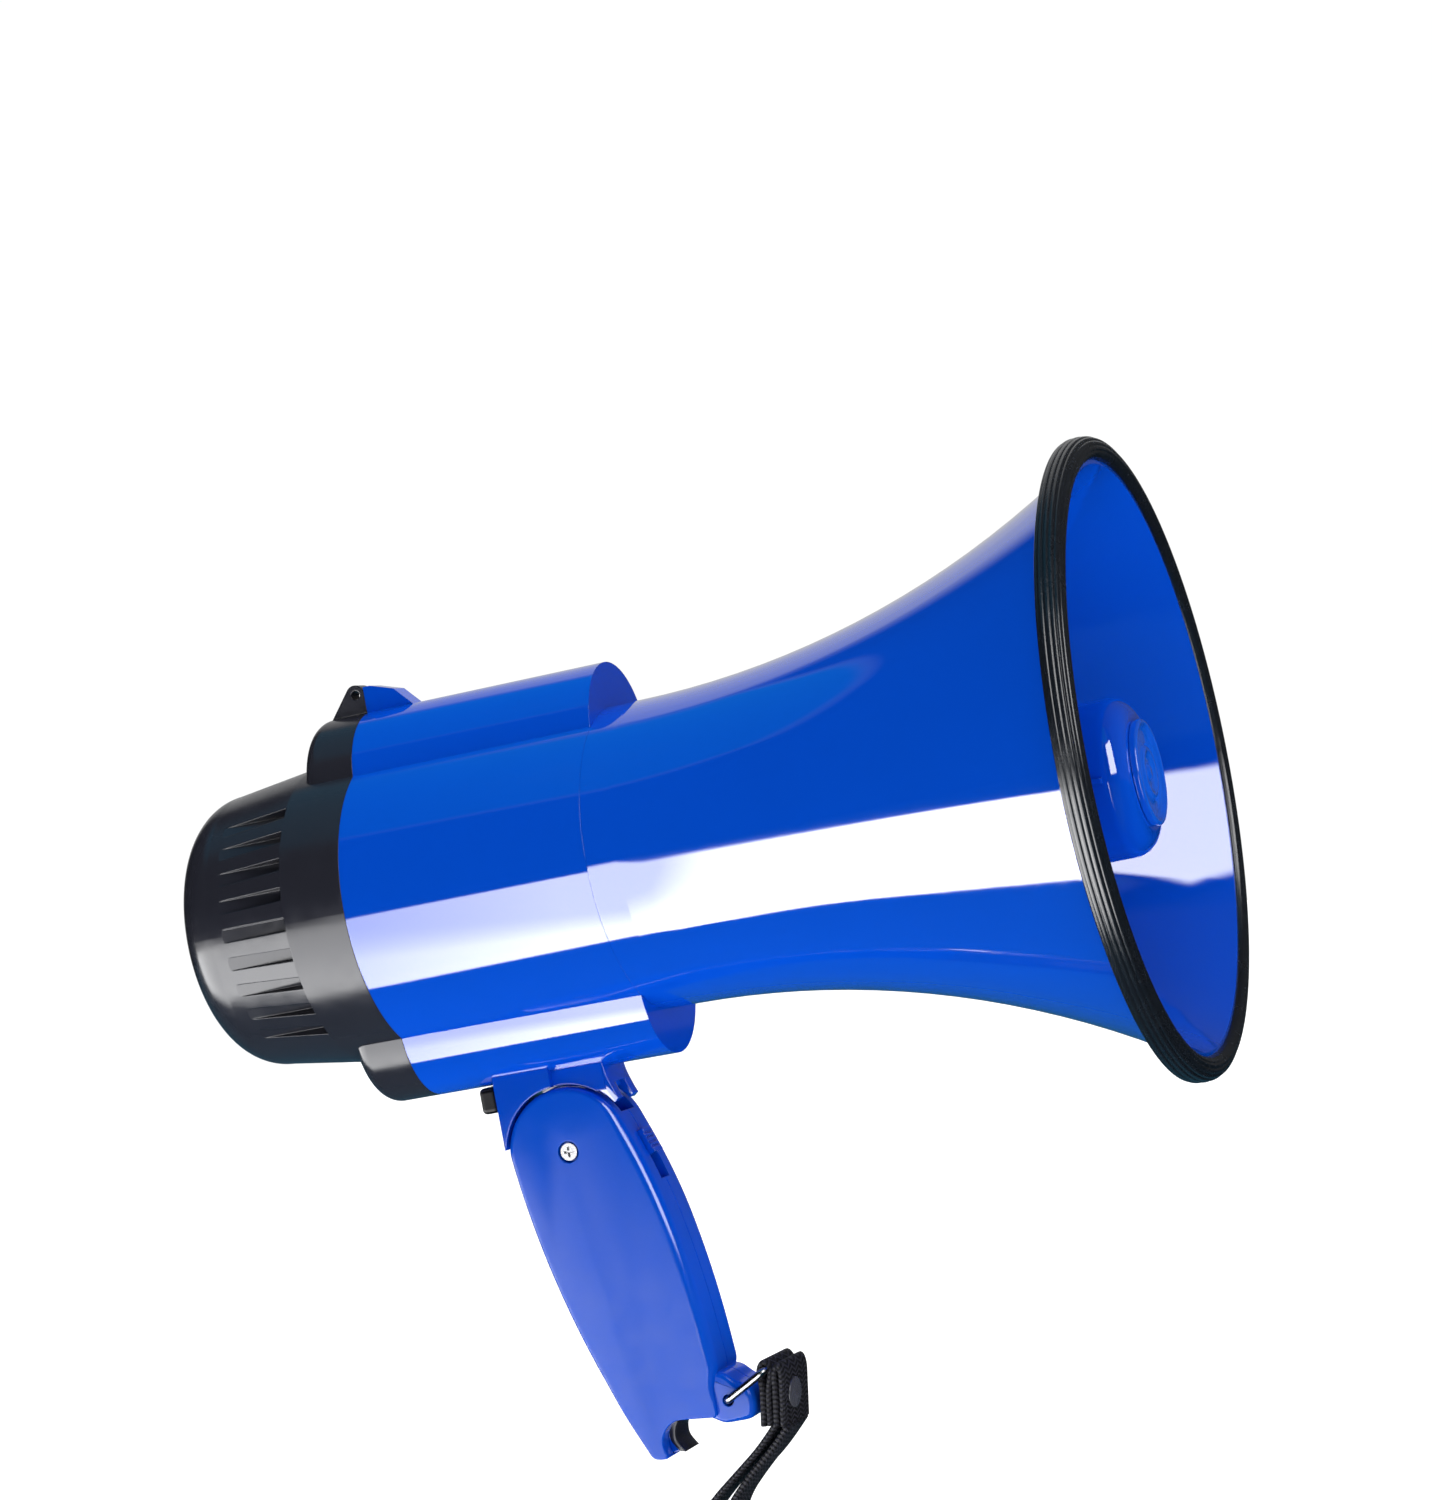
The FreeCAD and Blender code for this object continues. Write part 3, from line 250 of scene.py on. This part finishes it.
def woven(name, color, rib=0.0012, row=0.00205, thread=0.00034):
    """Nylon webbing: herringbone ribs along its weave map, with fine warp threads; its colour is lightened on
    the ribs' tops as a painted highlight and darkened between them and along the fold lines as painted shade.
    rib is the ribs' pitch, row the width of one slanting row and thread the pitch of the warp, in metres."""
    material = bpy.data.materials.new(name)
    material.use_nodes = True
    n = Nodes(material.node_tree)
    along, across, _ = n.add("ShaderNodeSeparateXYZ", Vector=n.add(
        "ShaderNodeUVMap", {"uv_map": "weave"}).outputs[0]).outputs
    slant = n.math("PINGPONG", across, row)
    ribs = n.math("SINE", n.math("MULTIPLY", n.math("ADD", along, n.math("MULTIPLY", slant, 0.55)),
                                 2 * math.pi / rib))
    threads = n.math("SINE", n.math("MULTIPLY", across, 2 * math.pi / thread))
    fold = n.math("SINE", n.math("MULTIPLY", across, math.pi / row))
    at = n.add("ShaderNodeTexCoord").outputs["Object"]
    fluff = n.add("ShaderNodeTexNoise", Vector=at, Scale=2600.0, Detail=3.0).outputs["Fac"]
    drift = n.add("ShaderNodeTexNoise", Vector=at, Scale=60.0, Detail=2.0).outputs["Fac"]
    height = n.math("ADD", n.math("MULTIPLY", ribs, 0.5), n.math("MULTIPLY", threads, 0.12))
    height = n.math("ADD", height, n.math("MULTIPLY", fluff, 0.35))
    # The fold lines between the slanting rows dip in the bump, and through the colour below they also carry
    # painted shade.
    fold_dip_and_shade = n.math("POWER", n.math("ABSOLUTE", fold), 8.0)
    height = n.math("SUBTRACT", height, n.math("MULTIPLY", fold_dip_and_shade, 0.2))
    # Colour follows the height: painted highlight on the ribs' tops, painted shade between them and in the
    # fold lines.
    lit = n.add("ShaderNodeMapRange", Value=height, From_Min=-0.25, From_Max=0.75, To_Min=0.1,
                To_Max=5.0).outputs[0]
    lit = n.math("MULTIPLY", lit, n.add("ShaderNodeMapRange", Value=drift, To_Min=0.7, To_Max=1.3).outputs[0])
    tint = n.add("ShaderNodeVectorMath", {"operation": "SCALE"}, i0=color, Scale=lit).outputs[0]
    bump = n.add("ShaderNodeBump", Height=height, Strength=0.9, Distance=0.00022).outputs[0]
    skin = n.add("ShaderNodeBsdfPrincipled", Base_Color=tint, Roughness=0.6, Normal=bump)
    skin.inputs["Specular IOR Level"].default_value = 0.16
    n.add("ShaderNodeOutputMaterial", Surface=skin.outputs[0])
    return material


def casing_polish(n, x, y):
    """Gloss that rises along the casing from its back, -45 mm, to 14 mm."""
    return n.add("ShaderNodeMapRange", Value=x, From_Min=-0.045, From_Max=0.014, To_Min=0.3,
                 To_Max=1.0).outputs[0]


def grip_polish(n, x, y):
    """Gloss on the grip's front and rounded edges, none on its flat sides, back and strap lug."""
    front = n.math("GREATER_THAN", x, 0.002)
    before_lug = n.add("ShaderNodeMapRange", Value=x, From_Min=0.0135, From_Max=0.0175, To_Min=1.0,
                       To_Max=0.1).outputs[0]
    return n.add("ShaderNodeMapRange", Value=n.math("ABSOLUTE", y), From_Min=0.0093, From_Max=0.00949,
                 To_Min=n.math("MULTIPLY", front, before_lug), To_Max=0.0).outputs[0]


BLUE = (0.0008, 0.072, 0.6)
LOOKS = {
    "blue_plastic": moulded("blue_gloss", BLUE, rough=0.05, coat=1.0, depth=0.000002, vary=0.03, edge=0.0004),
    "casing_blue": moulded("blue_casing", BLUE, rough=0.05, coat=1.0, depth=0.000002, vary=0.03, edge=0.0004,
                           polish=casing_polish),
    "grip": moulded("blue_satin", (0.001, 0.08, 0.6), rough=0.17, coat=1.0, depth=0.000004, vary=0.03,
                    shine=0.17, edge=0.0004, polish=grip_polish),
    "button": moulded("black_button", (0.005, 0.005, 0.006), rough=0.2, coat=0.0, shine=0.12, edge=0.0004),
    "disc_plastic": moulded("blue_disc", (0.004, 0.10, 0.66), rough=0.08, coat=0.8, vary=0.03),
    "black_plastic": moulded("black_gloss", (0.018, 0.019, 0.027), rough=0.2, coat=0.0, depth=0.000008,
                             shine=0.33, edge=0.0004),
    "carrier_plastic": moulded("black_matt", (0.012, 0.012, 0.013), rough=0.45, coat=0.0, depth=0.00003),
    "rim_rubber": moulded("rim_rubber", (0.006, 0.008, 0.012), rough=0.24, coat=0.0, depth=0.00001, vary=0.2),
    "steel": moulded("bright_steel", (0.24, 0.24, 0.25), rough=0.24, coat=0.0, metallic=1.0, edge=0.00006),
    "magnet": moulded("ferrite", (0.03, 0.03, 0.033), rough=0.6, coat=0.0, depth=0.00005),
    "copper": moulded("copper_wire", (0.72, 0.3, 0.14), rough=0.28, coat=0.2, metallic=1.0),
    "circuit_board": moulded("board_green", (0.01, 0.12, 0.04), rough=0.3, coat=0.3, vary=0.2),
    "aluminium": moulded("aluminium", (0.74, 0.75, 0.77), rough=0.3, coat=0.0, metallic=1.0),
    "cell_case": moulded("cell_foil", (0.02, 0.02, 0.024), rough=0.22, coat=0.6),
    "webbing": woven("nylon_black", (0.0055, 0.0055, 0.0075)),
    "rivet": moulded("rivet_black", (0.05, 0.052, 0.065), rough=0.24, coat=0.5),
}


# Making pieces ------------------------------------------------------------------------------------

def near_pivot(x, z, y=0.0):
    """The row point of a place given in millimetres from the handle's pivot."""
    return Vector((PIVOT.x + x * MM, y * MM, PIVOT.z + z * MM))


def keep(obj, body, material_slot, *nodes):
    """Finish a piece: its material, the body that it rides on and the CAD nodes that it stands for."""
    if not obj.data.materials:
        obj.data.materials.append(LOOKS[material_slot])
    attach(obj, body)
    if nodes:
        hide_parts(*nodes)
    return obj


def solid(name, points, faces, weave=None):
    """A smooth-shaded mesh object. weave gives each point's place along and across the webbing."""
    mesh = bpy.data.meshes.new(name)
    mesh.from_pydata(points, [], faces)
    if weave:
        layer = mesh.uv_layers.new(name="weave")
        for loop in mesh.loops:
            layer.data[loop.index].uv = weave[loop.vertex_index]
    work = bmesh.new()
    work.from_mesh(mesh)
    bmesh.ops.recalc_face_normals(work, faces=work.faces)
    work.to_mesh(mesh)
    work.free()
    mesh.shade_smooth()
    obj = bpy.data.objects.new(name, mesh)
    bpy.context.collection.objects.link(obj)
    return obj


def smooth_line(points, step, closed=False):
    """Points every step or so along a smooth line through the given points."""
    points = [Vector(p) for p in points]
    count = len(points)
    spans = count if closed else count - 1
    line = []
    for i in range(spans):
        if closed:
            a, b, c, d = (points[(i + k - 1) % count] for k in range(4))
        else:
            a, b, c, d = (points[min(max(i + k - 1, 0), count - 1)] for k in range(4))
        steps = max(1, round((c - b).length / step))
        for k in range(steps):
            t = k / steps
            line.append(0.5 * (2 * b + (c - a) * t + (2 * a - 5 * b + 4 * c - d) * t * t
                               + (3 * b - a - 3 * c + d) * t ** 3))
    if not closed:
        line.append(points[-1])
    return line


def lathe(name, profile, height, side=0.0, steps=192):
    """A closed profile of (x, r) points, in metres, turned about a line along X."""
    points = []
    for k in range(steps):
        turn = 2 * math.pi * k / steps
        points += [(x, side + r * math.sin(turn), height + r * math.cos(turn)) for x, r in profile]
    size = len(profile)
    faces = [(k * size + i, k * size + (i + 1) % size, (k + 1) % steps * size + (i + 1) % size,
              (k + 1) % steps * size + i) for k in range(steps) for i in range(size)]
    return solid(name, points, faces)


def band(name, lines, half, thick):
    """Webbing along each line of points in the plane y = 0, its width across it, its edges rounded."""
    bend = 0.36 * thick
    section = [(-half, -thick / 2 + bend), (-half + bend, -thick / 2), (half - bend, -thick / 2),
               (half, -thick / 2 + bend), (half, thick / 2 - bend), (half - bend, thick / 2),
               (-half + bend, thick / 2), (-half, thick / 2 - bend)]
    points, faces, weave = [], [], []
    for line in lines:
        first = len(points)
        travelled = 0.0
        for i, here in enumerate(line):
            ahead = line[min(i + 1, len(line) - 1)] - line[max(i - 1, 0)]
            normal = Vector((-ahead.z, 0, ahead.x)).normalized()
            travelled += (here - line[i - 1]).length if i else 0.0
            for across, out in section:
                points.append(here + Vector((0, across, 0)) + normal * out)
                weave.append((travelled, across + half))
        size = len(section)
        for i in range(len(line) - 1):
            row = first + i * size
            faces += [(row + k, row + (k + 1) % size, row + size + (k + 1) % size, row + size + k)
                      for k in range(size)]
        faces.append(tuple(range(first, first + size)))
        faces.append(tuple(range(len(points) - size, len(points))))
    return solid(name, points, faces, weave)


def carve(obj, *cutters):
    """Cut the closed meshes out of the piece and drop them."""
    for cutter in cutters:
        modifier = obj.modifiers.new("carve", "BOOLEAN")
        modifier.object = cutter
        modifier.solver = "EXACT"
    shape = bpy.data.meshes.new_from_object(obj.evaluated_get(bpy.context.evaluated_depsgraph_get()))
    obj.modifiers.clear()
    obj.data = shape
    shape.name = obj.name
    shape.shade_smooth()
    shape.set_sharp_from_angle(angle=math.radians(28))
    for cutter in cutters:
        bpy.data.objects.remove(cutter)
    return obj


# Strap and its tab --------------------------------------------------------------------------------

WEBBING_HALF = 0.0082
WEBBING_THICK = 0.0015
LEAN = math.radians(-9)
STRAP_ROUTE = (
    (41.2, -76), (36.4, -81), (30.2, -85.8), (18.6, -94.6), (6, -108), (-6, -130), (-16, -160),
    (-17, -192), (-3, -218), (19, -228), (40, -217), (51, -191), (45.5, -160), (30, -132), (20, -112),
    (22.4, -97.2), (32, -87.6), (38.6, -82.6), (44, -77))


def line_of_route(points):
    """The points of the smooth NURBS line that has these control points."""
    curve = bpy.data.curves.new("route", "CURVE")
    curve.dimensions = "3D"
    curve.resolution_u = 16
    spline = curve.splines.new("NURBS")
    spline.points.add(len(points) - 1)
    for point, place in zip(spline.points, points):
        point.co = (*place, 1)
    spline.order_u = 3
    spline.use_endpoint_u = True
    obj = bpy.data.objects.new("route", curve)
    bpy.context.collection.objects.link(obj)
    bpy.context.view_layer.update()
    mesh = bpy.data.meshes.new_from_object(obj.evaluated_get(bpy.context.evaluated_depsgraph_get()))
    line = [vertex.co.copy() for vertex in mesh.vertices]
    bpy.data.objects.remove(obj)
    bpy.data.meshes.remove(mesh)
    return line


def add_strap():
    """The hanging loop, the two leaves of webbing that hold it on the bail, and the rivet through them."""
    line = line_of_route([near_pivot(x, z) for x, z in STRAP_ROUTE])
    strap = band("wrist_strap_webbing", [line], WEBBING_HALF, WEBBING_THICK)
    keep(strap, "bail", "webbing", "wrist_strap")
    back = smooth_line([leaning(x, z) for x, z in (
        (40.5, -76.6), (40.5, -68), (39.9, -62.6), (41.3, -60.4), (42.8, -62.6), (42.2, -68), (42.2, -76.4))],
        0.0004)
    front = smooth_line([leaning(x, z) for x, z in (
        (44.0, -76.2), (44.0, -68), (43.9, -63), (44.9, -61), (45.8, -63), (45.9, -68), (45.85, -76.4))],
        0.0004)
    tab = band("strap_tab_webbing", [back, front], WEBBING_HALF, WEBBING_THICK)
    middle = leaning(43.2, -68)
    twist = Matrix.Rotation(math.radians(-4.5), 4, "Z")
    yaw = Matrix.Translation(middle) @ twist @ Matrix.Translation(-middle)
    tab.data.transform(yaw)
    keep(tab, "bail", "webbing", "strap_tab")
    rivet = lathe("strap_rivet_head", [(-0.004, 0.0), (-0.004, 0.0014), (0, 0.0014), (-0.0001, 0.0037),
                                       (0.0002, 0.00395), (0.00045, 0.0038), (0.00062, 0.0031),
                                       (0.00074, 0.0018), (0.0008, 0.0)], 0, 0, 64)
    seat = leaning(46.65, -68.8) + Vector((0, -0.0015, 0))
    rivet.data.transform(yaw @ Matrix.Translation(seat) @ Matrix.Rotation(-LEAN, 4, "Y"))
    keep(rivet, "bail", "rivet", "strap_rivet")


def leaning(x, z):
    """A place on the tab, which hangs a little back from upright about the bail's far bar."""
    x, z = x - 41.3, z + 62.2
    return near_pivot(41.3 + x * math.cos(LEAN) - z * math.sin(LEAN),
                      -62.2 + x * math.sin(LEAN) + z * math.cos(LEAN))


def add_bail():
    """Steel wire bent to a rectangle with small round corners."""
    near, far = near_pivot(29.8, -68.5), near_pivot(41.3, -62.2)
    run = (far - near).normalized()
    across = Vector((0, 0.0093, 0))
    bend = 0.0018
    corners = [(near - across, run, across.normalized()), (near + across, -across.normalized(), run),
               (far + across, -run, -across.normalized()), (far - across, across.normalized(), -run)]
    line = []
    for corner, out, into in corners:
        for k in range(7):
            turn = math.pi / 2 * k / 6
            line.append(corner + out * bend * (1 - math.sin(turn)) + into * bend * (1 - math.cos(turn)))
    curve = bpy.data.curves.new("bail_wire", "CURVE")
    curve.dimensions = "3D"
    spline = curve.splines.new("POLY")
    spline.points.add(len(line) - 1)
    for point, place in zip(spline.points, line):
        point.co = (*place, 1)
    spline.use_cyclic_u = True
    curve.bevel_depth = 0.001
    curve.bevel_resolution = 6
    wire = bpy.data.objects.new("bail_wire", curve)
    bpy.context.collection.objects.link(wire)
    keep(wire, "bail", "steel", "bail")


# Mouth --------------------------------------------------------------------------------------------

def add_rim():
    """Rubber guard with fine ridges round its outside and its lip."""
    outside = smooth_line([Vector((MOUTH - t * MM, 0, r * MM)) for t, r in (
        (7.0, 78.6), (6.2, 79.6), (4.6, 79.85), (2.8, 79.8), (1.3, 79.1), (0.35, 77.6), (0.15, 75.8),
        (0.7, 74.4), (1.9, 73.8))], 0.00012)
    profile = []
    travelled = 0.0
    for i, here in enumerate(outside):
        ahead = (outside[min(i + 1, len(outside) - 1)] - outside[max(i - 1, 0)]).normalized()
        out = Vector((-ahead.z, 0, ahead.x))
        travelled += (here - outside[i - 1]).length if i else 0.0
        along = travelled * 1000
        ridge = abs(math.sin(math.pi * along / 1.45)) ** 0.6 if 0.3 < along < 10.4 else 0.6
        here = here + out * (0.34 * MM * (ridge - 0.85))
        profile.append((here.x, here.z))
    profile += [(MOUTH - 7 * MM, 73.8 * MM)]
    rim = lathe("rim_guard_rubber", profile, AXIS_Z, steps=256)
    keep(rim, "casing", "rim_rubber", "rim_guard")


def add_plug():
    """Reflector disc with a raised lip and rings, and a small screw boss under its middle."""
    low, high = (Vector(corner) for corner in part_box("reflector_disc"))
    height = (low.z + high.z) / 2
    line = smooth_line([Vector((high.x - t * MM, 0, r * MM)) for t, r in (
        (0.25, 0.0), (0.3, 1.2), (0.9, 1.9), (1.0, 3.4), (0.75, 4.4), (0.3, 5.2), (0.35, 6.2),
        (1.0, 7.2), (1.15, 9.8), (0.95, 11.0), (0.15, 11.8), (0.0, 12.5), (0.3, 13.15), (0.9, 13.3),
        (1.9, 13.3))], 0.0002)
    profile = [(p.x, p.z) for p in line] + [(high.x - 0.0019, 0.0)]
    disc = lathe("reflector_disc_face", profile, height)
    keep(disc, "casing", "disc_plastic", "reflector_disc")


# Handle -------------------------------------------------------------------------------------------

def arcs(start, *steps):
    """Outline points, in millimetres: a step is (x, z), or (x, z, radius, side) for an arc."""
    line = [Vector(start)]
    for step in steps:
        here, there = line[-1], Vector(step[:2])
        chord = there - here
        count = max(2, round(chord.length / 0.4))
        if len(step) == 2:
            line += [here + chord * (k / count) for k in range(1, count + 1)]
            continue
        radius, side = step[2], step[3]
        deep = math.sqrt(radius ** 2 - (chord.length / 2) ** 2)
        left = Vector((-chord.y, chord.x)).normalized()
        middle = here + chord / 2 - left * side * deep
        first = math.atan2(here.y - middle.y, here.x - middle.x)
        sweep = -side * 2 * math.asin(chord.length / 2 / radius)
        count = max(2, round(abs(sweep) * radius / 0.4))
        turns = [first + sweep * k / count for k in range(1, count + 1)]
        line += [middle + radius * Vector((math.cos(turn), math.sin(turn))) for turn in turns]
    return line[:-1]


def relaxed(values, rounds):
    """Values round a closed line, each eased towards its neighbours."""
    for _ in range(rounds):
        values = [(values[i - 1] + 2 * values[i] + values[(i + 1) % len(values)]) / 4
                  for i in range(len(values))]
    return values


GRIP_OUTLINE = ((-16.4, 1.7), (15.4, 5.9, 16.5, 1), (23.6, -20, 150, 1), (28.6, -60, 260, 1),
                (26.6, -64.5), (26.6, -72.2), (15.9, -71.5), (11.8, -81, 6, -1), (8.2, -80.8),
                (6.6, -78.9, 2, 1), (-16.4, 1.7, 235, 1))
LUG_OUTLINE = ((22, -60), (29.6, -61.4), (31.5, -63), (35.6, -65.2, 6, -1), (36.4, -72, 8, 1),
               (34.4, -74.1, 2.6, 1), (27.6, -74.2), (22, -71), (22, -60))


def shell_half(name, outline, side, half, soft):
    """One half of a moulded handle: its face at half from the seam, its edges rounded by soft(x, z)."""
    line = relaxed(arcs(*outline), 10)
    radii = relaxed([soft(p.x, p.y) for p in line], 160)
    count = len(line)
    inward = []
    for i in range(count):
        ahead = (line[(i + 1) % count] - line[i - 1]).normalized()
        inward.append(Vector((ahead.y, -ahead.x)))
    rings = [(1 - math.sin(math.pi / 2 * k / 8), 1 - math.cos(math.pi / 2 * k / 8)) for k in range(9)]
    points = []
    for share, rise in rings:
        points += [near_pivot(*(p + n * r * share), side * (half - r * rise))
                   for p, n, r in zip(line, inward, radii)]
    for inset, y in ((0.0, 0.32), (0.2, 0.1), (0.26, 0.03)):
        points += [near_pivot(*(p + n * inset), side * y) for p, n in zip(line, inward)]
    layers = len(rings) + 3
    faces = [(k * count + i, k * count + (i + 1) % count, (k + 1) * count + (i + 1) % count,
              (k + 1) * count + i) for k in range(layers - 1) for i in range(count)]
    faces.append(tuple(range(count)))
    faces.append(tuple(range((layers - 1) * count, layers * count)))
    return solid(name, points, faces)


def prism(outline, low, high):
    """A closed block with that outline, in millimetres from the pivot, from y = low to y = high."""
    count = len(outline)
    points = [near_pivot(x, z, y) for y in (low, high) for x, z in outline]
    faces = [(i, (i + 1) % count, count + (i + 1) % count, count + i) for i in range(count)]
    faces += [tuple(range(count)), tuple(range(count, 2 * count))]
    return solid("cutter", points, faces)


def round_outline(radius, x=0.0, z=0.0, first=0.0, last=360.0, count=48):
    """A circle about (x, z), or its arc between two angles in degrees, as outline points."""
    span = math.radians(last - first)
    return [(x + radius * math.cos(math.radians(first) + span * k / count),
             z + radius * math.sin(math.radians(first) + span * k / count))
            for k in range(count if last - first == 360 else count + 1)]


def add_heel():
    """Blue core in the heel's hook, with the thin black strip let into its outer face."""
    face = smooth_line([Vector(p) for p in ((14.1, -72.2, 0), (12.9, -74.6, 0), (12.9, -77.4, 0),
                                            (14.7, -80.3, 0))], 0.3)
    face = [(p.x, p.y) for p in face]
    inner = [(x - 1.6, z + (0.4 if z < -76 else 0)) for x, z in reversed(face)]
    strip = prism(face + inner, -5, 5)
    strip.name = strip.data.name = "heel_strip"
    soften(strip, 0.0004)
    keep(strip, "handle", "black_plastic", "heel_insert")
    core = prism([(x + 0.02, z) for x, z in reversed(inner)] + [(8.0, -80.4), (7.6, -72)], -4.8, 4.8)
    core.name = core.data.name = "heel_core"
    soften(core, 0.0003)
    keep(core, "handle", "blue_plastic")


def soften(obj, width):
    """Round the sharp edges a little."""
    work = bmesh.new()
    work.from_mesh(obj.data)
    edges = [edge for edge in work.edges if edge.calc_face_angle(0) > 0.7]
    bmesh.ops.bevel(work, geom=edges, offset=width, segments=3, profile=0.5, affect="EDGES",
                    clamp_overlap=True)
    work.to_mesh(obj.data)
    work.free()
    obj.data.shade_smooth()
    obj.data.set_sharp_from_angle(angle=math.radians(35))


def add_skirt():
    """The bracket's front, curving down before the handle's round top, slotted to let the slider by."""
    inner = round_outline(17.6, first=64, last=36, count=16)
    front = ((15.5, 11.3), (14.7, 13.2), (13.4, 17.2), (12.7, 21.4), (12.4, 25))
    outer = smooth_line([Vector((x, z, 0)) for x, z in front], 0.4)
    skirt = prism(inner + [(p.x, p.y) for p in outer] + [(6.5, 25), (6.5, 16.6)], -7.3, 7.3)
    skirt.name = skirt.data.name = "bracket_front"
    carve(skirt, prism(round_outline(20.8), -3.4, 3.4))
    soften(skirt, 0.0004)
    keep(skirt, "casing", "blue_plastic")


def add_handle():
    """Both handle shells, each with its half of the strap's lug, cut for the slider, tongue and screws."""
    lean = math.radians(20.8)
    out = Vector((math.cos(lean), math.sin(lean)))
    down = Vector((math.sin(lean), -math.cos(lean)))
    slot_middle = Vector((18.2, -1.3)) + down * 3.25
    slot = [slot_middle + out * a + down * b for a, b in ((-4, -6.8), (4, -6.8), (4, 6.8), (-4, 6.8))]
    hook = [(10.15, -69.95), (14.15, -69.95), (14.15, -72.3), (13.1, -76), (14.7, -80.4), (10.15, -80.4)]
    for side, name in ((-1, "right"), (1, "left")):
        shell = shell_half(f"handle_{name}_shell", GRIP_OUTLINE, side, 9.5,
                           lambda x, z: 0.4 if z < -64 else 3.0 if x > 8 and z < 12 - 0.2 * x else 1.3)
        cutters = [prism(slot, -2.9, 2.9), prism(hook, -5.1, 5.1),
                   prism([(0.0, 0.0)] + round_outline(19, first=28, last=116), -4.7, 4.7)]
        if side < 0:
            cutters.append(prism(round_outline(2.8), -12, -7.6))
        else:
            cutters.append(prism(round_outline(3.0, count=6), 7.3, 12))
            cutters += [prism(round_outline(2.7, x, z), 4, 12) for x, z in ((2, -24), (14, -46), (7, -60))]
        carve(shell, *cutters)
        nose = shell_half(f"handle_{name}_lug", LUG_OUTLINE, side, 8,
                          lambda x, z: 2.2 if x > 32 else 1.0)
        carve(nose, prism(round_outline(1.5, 29.8, -68.5), -12, 12))
        work = bmesh.new()
        work.from_mesh(shell.data)
        work.from_mesh(nose.data)
        work.to_mesh(shell.data)
        work.free()
        bpy.data.objects.remove(nose)
        shell.data.materials.clear()
        shell.data.materials.append(LOOKS["grip"])
        keep(shell, "handle", "blue_plastic", f"handle_{name}")


# Making -------------------------------------------------------------------------------------------

add_camera()
add_strap()
add_world()
add_floor()
add_area("key", (0.1, -0.5, 1.5), (0.0, 0.0, 0.1), (1.4, 1.0), 14)

for entry in frame["record"]["subparts"]:
    piece = frame["nodes"][entry["node"]]
    for slot in piece.material_slots:
        slot.material = LOOKS[entry["material_slot"]]

for node, look in (("body_shell", "casing_blue"), ("siren_button", "button")):
    for slot in frame["nodes"][node].material_slots:
        slot.material = LOOKS[look]

add_bail()
add_rim()
add_plug()
add_handle()
add_heel()
add_skirt()

bpy.context.scene.view_settings.view_transform = "Standard"
